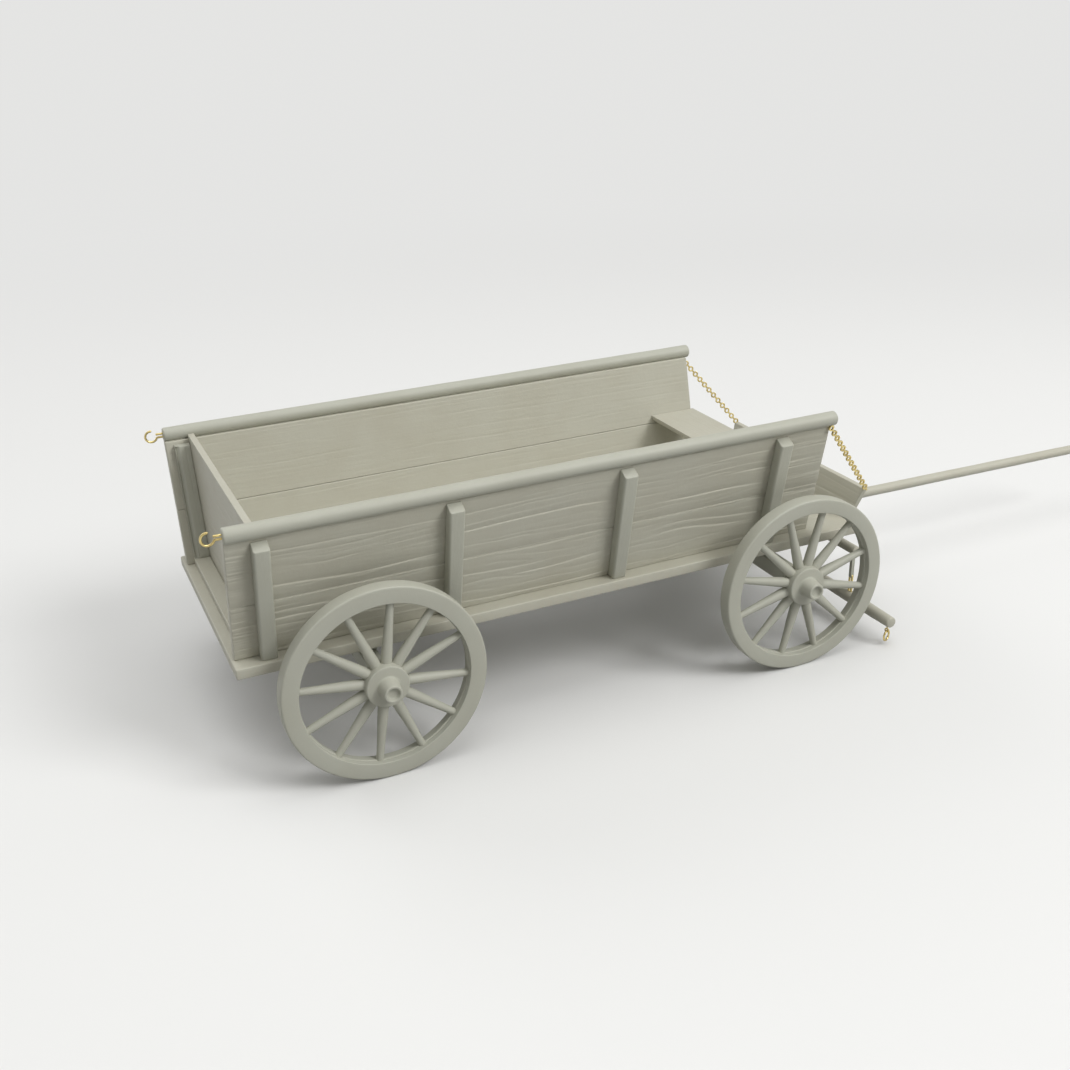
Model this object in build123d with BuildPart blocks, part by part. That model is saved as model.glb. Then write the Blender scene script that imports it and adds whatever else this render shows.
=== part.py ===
"""Farm wagon, a resin and brass scale model at its own size.

Millimetres. +X runs forward along the draught pole, +Y to the wagon's left, +Z up from the ground.
Lengths along the wagon are first taken from the rear end of the top rails, then moved by MID so that
the middle of the whole model stands on the origin.
"""
import os
from math import atan2, cos, degrees, radians, sin

from build123d import *

os.makedirs("parts", exist_ok=True)

# floor
FLOOR_AHEAD = 11.0
FLOOR_REAR = 0.5
FLOOR_HALF = 23.8
FLOOR_THICK = 1.9
FLOOR_BOTTOM = 20.7
FLOOR_EASE = 0.15

# flared sides, two planks each, standing on the floor behind a ledge
SIDE_LENGTH = 109.0
SIDE_LEDGE = 2.95
SIDE_LEAN = 5.0
SIDE_HIGH = 22.4
SIDE_THICK = 1.9
LOWER_PLANK_HIGH = 10.1
SEAM_EASE = 0.22

# posts outside the sides
POST_COUNT = 4
POST_FIRST = 5.2
POST_LAST_BACK = 10.2
POST_WIDE = 2.6
POST_THICK = 2.1
POST_HEAD_DROP = 0.7
POST_HEAD_SLOPE = 1.1
POST_EASE = 0.4

# top rails, flattened where they sit on the sides
RAIL_R = 1.3
RAIL_NOSE = 1.0
RAIL_SINK = 0.3
RAIL_INSET = 0.35
RAIL_EASE = 0.5

# tailboard, and the sill and cleats behind it
TAIL_INSET = 4.1
TAIL_THICK = 1.2
TAIL_RISE = 0.9
CLEAT_THICK = 1.5
CLEAT_DROP = 0.6
CLEAT_SET = 0.1
CLEAT_CUT = 0.45
SILL_INSET = 1.3
SILL_HIGH = 1.4

# seat board and toe board
SEAT_BACK = 9.7
SEAT_DEEP = 10.2
SEAT_HIGH = 11.8
SEAT_THICK = 0.9
TOE_BACK = 0.4
TOE_LEAN = 2.3
TOE_HIGH = 6.45
TOE_THICK = 1.1
BOARD_EASE = 0.12

# flat brass stay chains from the rails to the toe board
CHAIN_LINKS = 13
CHAIN_LINK_LONG = 1.3
CHAIN_LINK_WIDE = 1.15
CHAIN_LINK_CORNER = 0.36
CHAIN_HOLE = 0.56
CHAIN_HOLE_CORNER = 0.17
CHAIN_NECK = 0.4
CHAIN_THICK = 0.35
CHAIN_BACK = 1.4
CHAIN_OUT = 0.7
CHAIN_DROP = 1.0
CHAIN_FOOT_INSET = 0.2
CHAIN_FOOT_BACK = 0.35
CHAIN_FOOT_SINK = 0.3

# open brass wire hooks in the rear ends of the rails
HOOK_WIRE_R = 0.2
HOOK_R = 1.02
HOOK_SHANK = 1.05
HOOK_SPLIT = 0.3
HOOK_BURIED = 1.6
HOOK_TIP_ANGLE = 80.0

# wheels
WHEEL_CLEAR = 3.8
FRONT_TRACK_EXTRA = 1.0
RIM_WIDE = 2.8
RIM_EASE = 0.2
SPOKES = 12
SPOKE_HUB_R = 0.92
SPOKE_RIM_R = 0.66
SPOKE_ROOT = 0.6
SPOKE_TENON = 0.3
HUB_R = 3.65
HUB_COLLAR_R = 2.4
HUB_BACK = 2.6
HUB_SHOULDER = 1.5
HUB_FACE = 1.9
HUB_EASE = 0.25
NOSE_R = 1.85
NOSE_TIP_R = 1.5
NOSE_LONG = 2.65
NOSE_EASE = 0.15
DIMPLE_R = 1.12
DIMPLE_DEEP = 0.7
REAR_X = 21.7
REAR_R = 17.25
REAR_RIM = 3.05
REAR_SPOKE_ANGLE = 22.0
FRONT_BACK = 7.2
FRONT_R = 16.8
FRONT_RIM = 2.8
FRONT_SPOKE_ANGLE = 15.0

# axles and bolsters
ARM_R = 1.0
ARM_CLEAR = 0.05
ARM_IN_HUB = 4.8
END_PLAY = 0.1
AXLE_DEEP = 3.2
AXLE_THICK = 3.0
AXLE_EASE = 0.25
BOLSTER_INSET = 2.8
REACH_WIDE = 2.6
REACH_SPARE = 0.5

# turning fore carriage
TURN_R = 7.0
TURN_THICK = 0.95
TURN_GAP = 0.05
PIN_R = 0.8
PIN_CLEAR = 0.05
PIN_HEAD_R = 1.5
PIN_HEAD_THICK = 0.7
SPLINTER_AHEAD = 19.2
SPLINTER_Z = 15.5
SPLINTER_R = 0.95
SPLINTER_HALF = 21.5
SPLINTER_EASE = 0.25
HOUND_Y = 6.0
HOUND_SIDE = 1.8
HOUND_HOUSING = 0.3
HOUND_EASE = 0.2
POLE_AHEAD = 104.2
POLE_BUTT_Z = 17.1
POLE_TIP_Z = 15.65
POLE_BUTT_R = 1.1
POLE_R = 1.0
POLE_SEAT = 14.0
POLE_EASE = 0.4

# swingletrees, their hangers and rings
HANGER_INSET = 1.0
STRAP_SIDE = 0.7
STRAP_END = 9.5
LINK_TOP = 10.2
LINK_WIDE = 1.2
LINK_WIRE = 0.3
LINK_SINK = 0.5
TREE_Z = 5.2
TREE_R = 1.2
TREE_TIP_R = 1.08
TREE_HALF = 12.8
TREE_EASE = 0.35
RING_R = 1.2
RING_BORE_R = 0.85
RING_THICK = 0.45
RING_INSET = 1.1
RING_NECK = 0.8
RING_STUB_R = 0.22
RING_STUB_SINK = 0.6
RING_TURN = 24.0

# places that follow from the sizes above
TAIL_X = -(HOOK_SHANK + 2 * HOOK_R + HOOK_WIRE_R)
FLOOR_LENGTH = SIDE_LENGTH + FLOOR_AHEAD
FRONT_X = SIDE_LENGTH - FRONT_BACK
POLE_TIP_X = FRONT_X + POLE_AHEAD
MID = (TAIL_X + POLE_TIP_X) / 2
FLOOR_TOP = FLOOR_BOTTOM + FLOOR_THICK
SIDE_FOOT_Y = FLOOR_HALF - SIDE_LEDGE
SIDE_HEAD_Y = SIDE_FOOT_Y + SIDE_LEAN
SIDE_TOP = FLOOR_TOP + SIDE_HIGH
SEAM_Z = FLOOR_TOP + LOWER_PLANK_HIGH
POST_STEP = (SIDE_LENGTH - POST_LAST_BACK - POST_FIRST) / (POST_COUNT - 1)
POST_TOP = SIDE_TOP - POST_HEAD_DROP
RAIL_LENGTH = SIDE_LENGTH + RAIL_NOSE
RAIL_Y = SIDE_HEAD_Y - RAIL_INSET
RAIL_Z = SIDE_TOP + RAIL_R - RAIL_SINK
TAIL_TOP = SIDE_TOP + TAIL_RISE
CLEAT_TOP = SIDE_TOP - CLEAT_DROP
SEAT_REAR = SIDE_LENGTH - SEAT_BACK
SEAT_TOP = FLOOR_TOP + SEAT_HIGH
SEAT_BOTTOM = SEAT_TOP - SEAT_THICK
TOE_FOOT_X = FLOOR_LENGTH - TOE_BACK
TOE_HEAD_X = TOE_FOOT_X + TOE_LEAN
TOE_TOP = FLOOR_TOP + TOE_HIGH
TOE_HALF = SIDE_FOOT_Y + SIDE_LEAN * TOE_HIGH / SIDE_HIGH
SILL_TOP = FLOOR_TOP + SILL_HIGH
CLEAT_REAR = SILL_INSET + CLEAT_SET
EYE_X = -HOOK_SHANK - HOOK_R
WHEEL_MID_Y = FLOOR_HALF + WHEEL_CLEAR + RIM_WIDE / 2
REAR_AXLE_TOP = REAR_R + AXLE_DEEP / 2
FRONT_AXLE_TOP = FRONT_R + AXLE_DEEP / 2
FRONT_AXLE_FACE = FRONT_X + AXLE_THICK / 2
BOLSTER_HALF = FLOOR_HALF - BOLSTER_INSET
TURN_TOP = FRONT_AXLE_TOP + TURN_THICK
BOLSTER_BOTTOM = TURN_TOP + TURN_GAP
REACH_START = REAR_X + AXLE_THICK / 2
REACH_END = FRONT_X - TURN_R + REACH_SPARE
PIN_HEAD_BOTTOM = FRONT_R - AXLE_DEEP / 2 - END_PLAY - PIN_HEAD_THICK
SPLINTER_X = FRONT_X + SPLINTER_AHEAD
HOUND_LONG = SPLINTER_X + SPLINTER_R - FRONT_AXLE_FACE
HOUND_BOTTOM = SPLINTER_Z + SPLINTER_R - HOUND_HOUSING
HANGER_Y = SPLINTER_HALF - HANGER_INSET
LINK_BOTTOM = TREE_Z + TREE_R - LINK_SINK
RING_Z = TREE_Z - TREE_R - RING_NECK - RING_R
POLE_SLOPE = degrees(atan2(POLE_TIP_Z - POLE_BUTT_Z, POLE_TIP_X - FRONT_AXLE_FACE))
POLE_LONG = (POLE_TIP_X - FRONT_AXLE_FACE) / cos(radians(POLE_SLOPE))

STAND = (Align.CENTER, Align.CENTER, Align.MIN)
SIDES = (("right", -1), ("left", 1))


def along(x):
    """Moves a length taken from the rear end of the rails into the shared frame."""
    return x - MID


def outer_y(z):
    """How far a side's outer face stands from the middle plane at the height z."""
    return SIDE_FOOT_Y + SIDE_LEAN * (z - FLOOR_TOP) / SIDE_HIGH


def inner_y(z):
    """How far a side's inner face stands from the middle plane at the height z."""
    return outer_y(z) - SIDE_THICK


def on_side(s, *points):
    """Turns (distance out, height) pairs into points of the YZ section on one side."""
    return [(s * y, z) for y, z in points]


def cut_rectangle(length, width, corner):
    """The eight points of a rectangle with its corners cut off."""
    x, y = length / 2, width / 2
    return [(-x, corner - y), (corner - x, -y), (x - corner, -y), (x, corner - y),
            (x, y - corner), (x - corner, y), (corner - x, y), (-x, y - corner)]


with BuildPart() as floor_plate:
    with Locations((along((FLOOR_LENGTH - FLOOR_REAR) / 2), 0, FLOOR_BOTTOM)):
        Box(FLOOR_LENGTH + FLOOR_REAR, 2 * FLOOR_HALF, FLOOR_THICK, align=STAND)
    chamfer(floor_plate.edges().filter_by(Axis.X), FLOOR_EASE)
floor_plate.part.label = "floor_plate"
export_step(floor_plate.part, "parts/floor_plate.step")

# name, bottom, top, which of the plank's levels lies at the seam
PLANKS = (("lower_plank", FLOOR_TOP, SEAM_Z, -1), ("upper_plank", SEAM_Z, SIDE_TOP, 0))
for side, s in SIDES:
    for name, z0, z1, seam_level in PLANKS:
        with BuildPart() as plank:
            with BuildSketch(Plane.YZ.offset(along(0))):
                Polygon(*on_side(s, (inner_y(z0), z0), (outer_y(z0), z0), (outer_y(z1), z1), (inner_y(z1), z1)),
                        align=None)
            extrude(amount=SIDE_LENGTH)
            chamfer(plank.edges().filter_by(Axis.X).group_by(Axis.Z)[seam_level], SEAM_EASE)
        plank.part.label = f"{name}_{side}"
        export_step(plank.part, f"parts/{name}_{side}.step")

    shoulder = POST_TOP - POST_HEAD_SLOPE
    for number in range(POST_COUNT):
        post_rear = POST_FIRST + number * POST_STEP - POST_WIDE / 2
        with BuildPart() as post:
            with BuildSketch(Plane.YZ.offset(along(post_rear))):
                Polygon(*on_side(s, (outer_y(FLOOR_TOP), FLOOR_TOP), (outer_y(FLOOR_TOP) + POST_THICK, FLOOR_TOP),
                                 (outer_y(shoulder) + POST_THICK, shoulder), (outer_y(POST_TOP), POST_TOP)),
                        align=None)
            extrude(amount=POST_WIDE)
            long_edges = post.edges().sort_by(SortBy.LENGTH)[-4:]
            fillet(long_edges.sort_by(lambda edge: s * edge.center().Y)[-2:], POST_EASE)
        post.part.label = f"side_post_{side}_{number + 1}"
        export_step(post.part, f"parts/side_post_{side}_{number + 1}.step")

    # one bent wire: an open eye, a lower and an upper leg, and a bend that joins them inside the rail
    eye_end = (HOOK_R ** 2 - HOOK_SPLIT ** 2) ** 0.5
    leg_long = HOOK_SHANK + HOOK_R - eye_end + HOOK_BURIED
    tip = radians(HOOK_TIP_ANGLE)
    with BuildPart() as hook:
        with BuildLine() as eye_line:
            ThreePointArc((along(EYE_X + HOOK_R * cos(tip)), s * RAIL_Y, RAIL_Z + HOOK_R * sin(tip)),
                          (along(EYE_X - HOOK_R), s * RAIL_Y, RAIL_Z),
                          (along(EYE_X + eye_end), s * RAIL_Y, RAIL_Z - HOOK_SPLIT))
        with BuildSketch(Plane(eye_line.line @ 0, z_dir=eye_line.line % 0)):
            Circle(HOOK_WIRE_R)
        sweep()
        with BuildSketch(Plane.YZ.offset(along(EYE_X + eye_end))):
            with Locations((s * RAIL_Y, RAIL_Z - HOOK_SPLIT), (s * RAIL_Y, RAIL_Z + HOOK_SPLIT)):
                Circle(HOOK_WIRE_R)
        extrude(amount=leg_long)
        with Locations((along(HOOK_BURIED), s * RAIL_Y, RAIL_Z)):
            Cylinder(HOOK_WIRE_R, 2 * HOOK_SPLIT)
    hook.part.label = f"rear_hook_{side}"
    export_step(hook.part, f"parts/rear_hook_{side}.step")

    with BuildPart() as top_rail:
        with BuildSketch(Plane.YZ.offset(along(0))):
            with Locations((s * RAIL_Y, RAIL_Z)):
                Circle(RAIL_R)
                with Locations((0, -RAIL_R)):
                    Rectangle(2 * RAIL_R, 2 * RAIL_SINK, mode=Mode.SUBTRACT)
        extrude(amount=RAIL_LENGTH)
        fillet(top_rail.faces().sort_by(Axis.X)[-1].edges(), RAIL_EASE)
        add(hook.part, mode=Mode.SUBTRACT)
    top_rail.part.label = f"top_rail_{side}"
    export_step(top_rail.part, f"parts/top_rail_{side}.step")

    with BuildPart() as cleat:
        with BuildSketch(Plane.YZ.offset(along(CLEAT_REAR))):
            Polygon(*on_side(s, (inner_y(SILL_TOP) - CLEAT_THICK, SILL_TOP), (inner_y(SILL_TOP), SILL_TOP),
                             (inner_y(CLEAT_TOP), CLEAT_TOP), (inner_y(CLEAT_TOP) - CLEAT_THICK, CLEAT_TOP)),
                    align=None)
        extrude(amount=TAIL_INSET - CLEAT_REAR)
        long_edges = cleat.faces().sort_by(Axis.X)[0].edges().sort_by(SortBy.LENGTH)[-2:]
        chamfer(long_edges.sort_by(Axis.Y)[0 if s > 0 else -1], CLEAT_CUT)
    cleat.part.label = f"tail_cleat_{side}"
    export_step(cleat.part, f"parts/tail_cleat_{side}.step")

with BuildPart() as tailboard:
    with BuildSketch(Plane.YZ.offset(along(TAIL_INSET))):
        Polygon((-inner_y(FLOOR_TOP), FLOOR_TOP), (inner_y(FLOOR_TOP), FLOOR_TOP), (inner_y(SIDE_TOP), SIDE_TOP),
                (inner_y(SIDE_TOP), TAIL_TOP), (-inner_y(SIDE_TOP), TAIL_TOP), (-inner_y(SIDE_TOP), SIDE_TOP),
                align=None)
    extrude(amount=TAIL_THICK)
tailboard.part.label = "tailboard"
export_step(tailboard.part, "parts/tailboard.step")

with BuildPart() as tail_sill:
    with BuildSketch(Plane.YZ.offset(along(SILL_INSET))):
        Polygon((-inner_y(FLOOR_TOP), FLOOR_TOP), (inner_y(FLOOR_TOP), FLOOR_TOP), (inner_y(SILL_TOP), SILL_TOP),
                (-inner_y(SILL_TOP), SILL_TOP), align=None)
    extrude(amount=TAIL_INSET - SILL_INSET)
tail_sill.part.label = "tail_sill"
export_step(tail_sill.part, "parts/tail_sill.step")

with BuildPart() as seat_board:
    with BuildSketch(Plane.YZ.offset(along(SEAT_REAR))):
        Polygon((-inner_y(SEAT_BOTTOM), SEAT_BOTTOM), (inner_y(SEAT_BOTTOM), SEAT_BOTTOM),
                (inner_y(SEAT_TOP), SEAT_TOP), (-inner_y(SEAT_TOP), SEAT_TOP), align=None)
    extrude(amount=SEAT_DEEP)
    chamfer(seat_board.edges().filter_by(Axis.Y), BOARD_EASE)
seat_board.part.label = "seat_board"
export_step(seat_board.part, "parts/seat_board.step")

with BuildPart() as toe_board:
    with BuildSketch(Plane.XZ):
        Polygon((along(TOE_FOOT_X - TOE_THICK), FLOOR_TOP), (along(TOE_FOOT_X), FLOOR_TOP),
                (along(TOE_HEAD_X), TOE_TOP), (along(TOE_HEAD_X - TOE_THICK), TOE_TOP), align=None)
    extrude(amount=TOE_HALF, both=True)
    with BuildSketch(Plane.YZ.offset(along(TOE_FOOT_X - TOE_THICK))):
        Polygon((-outer_y(FLOOR_TOP), FLOOR_TOP), (outer_y(FLOOR_TOP), FLOOR_TOP), (outer_y(TOE_TOP), TOE_TOP),
                (-outer_y(TOE_TOP), TOE_TOP), align=None)
    extrude(amount=TOE_LEAN + TOE_THICK, mode=Mode.INTERSECT)
    chamfer(toe_board.faces().sort_by(Axis.Z)[-1].edges(), BOARD_EASE)
toe_board.part.label = "toe_board"
export_step(toe_board.part, "parts/toe_board.step")

for side, s in SIDES:
    head = Vector(along(RAIL_LENGTH - CHAIN_BACK), s * (RAIL_Y + CHAIN_OUT), RAIL_Z - CHAIN_DROP)
    foot = Vector(along(TOE_HEAD_X - CHAIN_FOOT_BACK), s * (TOE_HALF - CHAIN_FOOT_INSET), TOE_TOP - CHAIN_FOOT_SINK)
    run = (foot - head).normalized()
    across = run.cross(Vector(0, s, 0)).normalized()
    chain_long = (foot - head).length
    outline = cut_rectangle(CHAIN_LINK_LONG, CHAIN_LINK_WIDE, CHAIN_LINK_CORNER)
    hole = cut_rectangle(CHAIN_HOLE, CHAIN_HOLE, CHAIN_HOLE_CORNER)
    places = [(chain_long * (link + 0.5) / CHAIN_LINKS, 0) for link in range(CHAIN_LINKS)]
    with BuildPart() as stay_chain:
        with BuildSketch(Plane(head, x_dir=run, z_dir=run.cross(across))):
            with Locations((chain_long / 2, 0)):
                Rectangle(chain_long, CHAIN_NECK)
            with Locations(*places):
                Polygon(*outline, align=None)
            with Locations(*places):
                Polygon(*hole, align=None, mode=Mode.SUBTRACT)
        extrude(amount=CHAIN_THICK / 2, both=True)
        with BuildSketch(Plane.YZ.offset(along(0))):
            with Locations((s * RAIL_Y, RAIL_Z)):
                Circle(RAIL_R)
        extrude(amount=RAIL_LENGTH, mode=Mode.SUBTRACT)
        add(toe_board.part, mode=Mode.SUBTRACT)
    stay_chain.part.label = f"stay_chain_{side}"
    export_step(stay_chain.part, f"parts/stay_chain_{side}.step")

with BuildPart() as rear_bolster:
    with Locations((along(REAR_X), 0, REAR_AXLE_TOP)):
        Box(AXLE_THICK, 2 * BOLSTER_HALF, FLOOR_BOTTOM - REAR_AXLE_TOP, align=STAND)
rear_bolster.part.label = "rear_bolster"
export_step(rear_bolster.part, "parts/rear_bolster.step")

with BuildPart() as king_pin:
    with Locations((along(FRONT_X), 0, PIN_HEAD_BOTTOM)):
        Cylinder(PIN_R, FLOOR_BOTTOM - PIN_HEAD_BOTTOM, align=STAND)
        Cylinder(PIN_HEAD_R, PIN_HEAD_THICK, align=STAND)
king_pin.part.label = "king_pin"
export_step(king_pin.part, "parts/king_pin.step")

with BuildPart() as front_bolster:
    with Locations((along(FRONT_X), 0, BOLSTER_BOTTOM)):
        Box(AXLE_THICK, 2 * BOLSTER_HALF, FLOOR_BOTTOM - BOLSTER_BOTTOM, align=STAND)
        Cylinder(TURN_R, FLOOR_BOTTOM - BOLSTER_BOTTOM, align=STAND)
    add(king_pin.part, mode=Mode.SUBTRACT)
front_bolster.part.label = "front_bolster"
export_step(front_bolster.part, "parts/front_bolster.step")

with BuildPart() as reach_pole:
    with Locations((along((REACH_START + REACH_END) / 2), 0, BOLSTER_BOTTOM)):
        Box(REACH_END - REACH_START, REACH_WIDE, FLOOR_BOTTOM - BOLSTER_BOTTOM, align=STAND)
    add(front_bolster.part, mode=Mode.SUBTRACT)
reach_pole.part.label = "reach_pole"
export_step(reach_pole.part, "parts/reach_pole.step")

# name, place along the wagon, wheel radius, how much wider than the rear track on each side
AXLES = (("rear_axle", REAR_X, REAR_R, 0.0), ("front_axle", FRONT_X, FRONT_R, FRONT_TRACK_EXTRA))
for name, x, radius, extra in AXLES:
    axle_half = WHEEL_MID_Y + extra - HUB_BACK - END_PLAY
    with BuildPart() as axle:
        with Locations((along(x), 0, radius)):
            Box(AXLE_THICK, 2 * axle_half, AXLE_DEEP)
            chamfer(axle.edges().filter_by(Axis.Y), AXLE_EASE)
            Cylinder(ARM_R, 2 * (axle_half + ARM_IN_HUB), rotation=(90, 0, 0))
        if name == "front_axle":
            with Locations((along(x), 0, radius)):
                Cylinder(PIN_R + PIN_CLEAR, 2 * AXLE_DEEP, mode=Mode.SUBTRACT)
    axle.part.label = name
    export_step(axle.part, f"parts/{name}.step")

with BuildPart() as turntable:
    with Locations((along(FRONT_X), 0, FRONT_AXLE_TOP)):
        Cylinder(TURN_R, TURN_THICK, align=STAND)
        Cylinder(PIN_R + PIN_CLEAR, TURN_THICK, align=STAND, mode=Mode.SUBTRACT)
turntable.part.label = "turntable"
export_step(turntable.part, "parts/turntable.step")

hound_parts = []
for side, s in SIDES:
    with BuildPart() as hound:
        with Locations((along(FRONT_AXLE_FACE), s * HOUND_Y, HOUND_BOTTOM)):
            Box(HOUND_LONG, HOUND_SIDE, HOUND_SIDE, align=(Align.MIN, Align.CENTER, Align.MIN))
        chamfer(hound.faces().sort_by(Axis.X)[-1].edges(), HOUND_EASE)
    hound.part.label = f"hound_{side}"
    export_step(hound.part, f"parts/hound_{side}.step")
    hound_parts.append(hound.part)

with BuildPart() as draught_pole:
    with Locations(Location((along(FRONT_AXLE_FACE), 0, POLE_BUTT_Z), (0, 90 - POLE_SLOPE, 0))):
        Cone(POLE_BUTT_R, POLE_R, POLE_LONG - POLE_SEAT, align=STAND)
        with Locations((0, 0, POLE_LONG - POLE_SEAT)):
            Cylinder(POLE_R, POLE_SEAT, align=STAND)
    fillet(draught_pole.faces().sort_by(Axis.X)[-1].edges(), POLE_EASE)
    split(bisect_by=Plane.YZ.offset(along(FRONT_AXLE_FACE)), keep=Keep.TOP)
draught_pole.part.label = "draught_pole"
export_step(draught_pole.part, "parts/draught_pole.step")

with BuildPart() as splinter_bar:
    with Locations((along(SPLINTER_X), 0, SPLINTER_Z)):
        Cylinder(SPLINTER_R, 2 * SPLINTER_HALF, rotation=(90, 0, 0))
    fillet(splinter_bar.edges().filter_by(GeomType.CIRCLE), SPLINTER_EASE)
    add(draught_pole.part, mode=Mode.SUBTRACT)
    for part in hound_parts:
        add(part, mode=Mode.SUBTRACT)
splinter_bar.part.label = "splinter_bar"
export_step(splinter_bar.part, "parts/splinter_bar.step")

for side, s in SIDES:
    hang_x = along(SPLINTER_X)
    hang_y = s * HANGER_Y
    with BuildPart() as link:
        with BuildSketch(Plane.YZ.offset(hang_x - LINK_WIRE / 2)):
            with Locations((hang_y, (LINK_TOP + LINK_BOTTOM) / 2)):
                SlotOverall(LINK_TOP - LINK_BOTTOM, LINK_WIDE, rotation=90)
                SlotOverall(LINK_TOP - LINK_BOTTOM - 2 * LINK_WIRE, LINK_WIDE - 2 * LINK_WIRE, rotation=90,
                            mode=Mode.SUBTRACT)
        extrude(amount=LINK_WIRE)
    link.part.label = f"hanger_link_{side}"
    export_step(link.part, f"parts/hanger_link_{side}.step")

    with BuildPart() as strap:
        with Locations((hang_x, hang_y, STRAP_END)):
            Box(STRAP_SIDE, STRAP_SIDE, SPLINTER_Z - STRAP_END, align=STAND)
        add(link.part, mode=Mode.SUBTRACT)
        add(splinter_bar.part, mode=Mode.SUBTRACT)
    strap.part.label = f"hanger_strap_{side}"
    export_step(strap.part, f"parts/hanger_strap_{side}.step")

    rings = []
    turn = radians(-s * RING_TURN)
    for place, out in (("inner", -1), ("outer", 1)):
        ring_y = s * (HANGER_Y + out * (TREE_HALF - RING_INSET))
        with BuildPart() as ring:
            with Locations((hang_x, ring_y, RING_Z + (RING_R + RING_BORE_R) / 2)):
                Cylinder(RING_STUB_R, RING_NECK + RING_STUB_SINK, align=STAND)
            with Locations(Plane(origin=(hang_x, ring_y, RING_Z), z_dir=(-sin(turn), cos(turn), 0))):
                Cylinder(RING_R, RING_THICK)
                Cylinder(RING_BORE_R, RING_THICK, mode=Mode.SUBTRACT)
        ring.part.label = f"trace_ring_{side}_{place}"
        export_step(ring.part, f"parts/trace_ring_{side}_{place}.step")
        rings.append(ring.part)

    with BuildPart() as swingletree:
        for out in (-1, 1):
            with Locations(Plane(origin=(hang_x, hang_y, TREE_Z), z_dir=(0, out, 0))):
                Cone(TREE_R, TREE_TIP_R, TREE_HALF, align=STAND)
        ends = swingletree.faces().sort_by(Axis.Y)
        fillet(ends[0].edges() + ends[-1].edges(), TREE_EASE)
        add(link.part, mode=Mode.SUBTRACT)
        for part in rings:
            add(part, mode=Mode.SUBTRACT)
    swingletree.part.label = f"swingletree_{side}"
    export_step(swingletree.part, f"parts/swingletree_{side}.step")

# name, place along the wagon, radius, depth of the rim, wider than the rear track, angle of the first spoke
WHEELS = (("rear_wheel", REAR_X, REAR_R, REAR_RIM, 0.0, REAR_SPOKE_ANGLE),
          ("front_wheel", FRONT_X, FRONT_R, FRONT_RIM, FRONT_TRACK_EXTRA, FRONT_SPOKE_ANGLE))
for side, s in SIDES:
    for name, x, radius, rim, extra, first_angle in WHEELS:
        centre = Vector(along(x), s * (WHEEL_MID_Y + extra), radius)
        felloe_r = radius - rim
        spoke_start = HUB_R - SPOKE_ROOT
        spoke_end = felloe_r + SPOKE_TENON
        nose_end = HUB_FACE + NOSE_LONG
        bore_r = ARM_R + ARM_CLEAR
        bore_end = ARM_IN_HUB - HUB_BACK
        with BuildPart() as wheel:
            with BuildSketch(Plane(centre, x_dir=(1, 0, 0), z_dir=(0, 0, s))):
                Polygon((0, bore_end), (bore_r, bore_end), (bore_r, -HUB_BACK), (HUB_COLLAR_R, -HUB_BACK),
                        (HUB_COLLAR_R, -HUB_SHOULDER), (HUB_R - HUB_EASE, -HUB_SHOULDER),
                        (HUB_R, HUB_EASE - HUB_SHOULDER), (HUB_R, HUB_FACE - HUB_EASE), (HUB_R - HUB_EASE, HUB_FACE),
                        (NOSE_R, HUB_FACE), (NOSE_TIP_R, nose_end - NOSE_EASE), (NOSE_TIP_R - NOSE_EASE, nose_end),
                        (DIMPLE_R, nose_end), (DIMPLE_R, nose_end - DIMPLE_DEEP), (0, nose_end - DIMPLE_DEEP),
                        align=None)
                with Locations((radius - rim / 2, 0)):
                    Polygon(*cut_rectangle(rim, RIM_WIDE, RIM_EASE), align=None)
            revolve(axis=Axis(centre, (0, s, 0)))
            with Locations(Plane(centre, x_dir=(1, 0, 0), z_dir=(0, s, 0))):
                with PolarLocations(0, SPOKES, start_angle=first_angle):
                    with Locations(Location((spoke_start, 0, 0), (0, 90, 0))):
                        Cone(SPOKE_HUB_R, SPOKE_RIM_R, spoke_end - spoke_start, align=STAND)
        wheel.part.label = f"{name}_{side}"
        export_step(wheel.part, f"parts/{name}_{side}.step")
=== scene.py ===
"""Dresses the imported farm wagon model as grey-beige cast resin with small brass fittings.

Shapes are worked out in millimetres in the frame's own axes: +X to the front, -Y to the near side, +Z up.
"""
import math
from types import SimpleNamespace

import bmesh
import bpy
import numpy as np
from bpy.props import FloatProperty, FloatVectorProperty, IntProperty, PointerProperty
from mathutils import Matrix, Vector


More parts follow.
